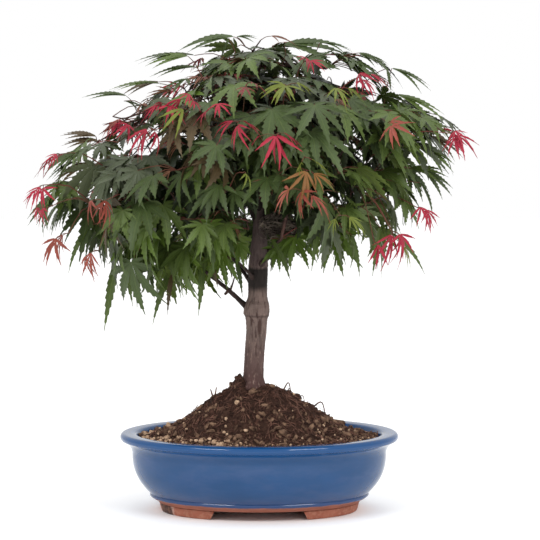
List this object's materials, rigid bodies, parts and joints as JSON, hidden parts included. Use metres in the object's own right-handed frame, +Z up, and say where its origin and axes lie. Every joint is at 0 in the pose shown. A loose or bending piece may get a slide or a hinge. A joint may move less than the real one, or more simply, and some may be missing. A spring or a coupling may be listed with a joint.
{
  "type": "japanese maple bonsai",
  "caption": "Small Japanese maple grown as a bonsai: a straight tapering trunk and domed crown of drooping lobed leaves, rooted in a soil mound in an oval glazed pot on feet.",
  "frame": {"origin": "on the surface that the feet stand on, under the middle of the whole tree's outline seen from above, 11 mm left of the pot's middle and 1 mm in front of it", "axes": "+X along the pot's long side to the right, +Y to the back, +Z up"},
  "size_m": [0.4428, 0.3754, 0.4775],
  "materials": {
    "glazed_pot": "glossy blue ceramic glaze with darker streaks, bare clay at its foot",
    "bare_clay": "matt unglazed reddish fired clay",
    "soil": "dark peaty soil with bark chips, fine roots and beige grains",
    "bark": "rough grey-brown bark, redder and smoother on young wood",
    "foliage": "satin green leaves, some bronze, and crimson young shoots"
  },
  "bodies": {
    "root": {"pot": "glazed_pot", "foot_front_left": "bare_clay", "foot_front_right": "bare_clay", "foot_back_left": "bare_clay", "foot_back_right": "bare_clay", "soil_mound": "soil", "trunk": "bark", "bough_left": "bark", "bough_front_left": "bark", "bough_front_right": "bark", "bough_right": "bark", "bough_back_right": "bark", "bough_back_left": "bark", "bough_upper_left": "bark", "bough_upper_front": "bark", "bough_upper_right": "bark", "bough_upper_back": "bark", "foliage_left": "foliage", "foliage_front_left": "foliage", "foliage_front_right": "foliage", "foliage_right": "foliage", "foliage_back_right": "foliage", "foliage_back_left": "foliage", "foliage_upper_left": "foliage", "foliage_upper_front": "foliage", "foliage_upper_right": "foliage", "foliage_upper_back": "foliage", "foliage_top": "foliage"}
  },
  "joints": []
}
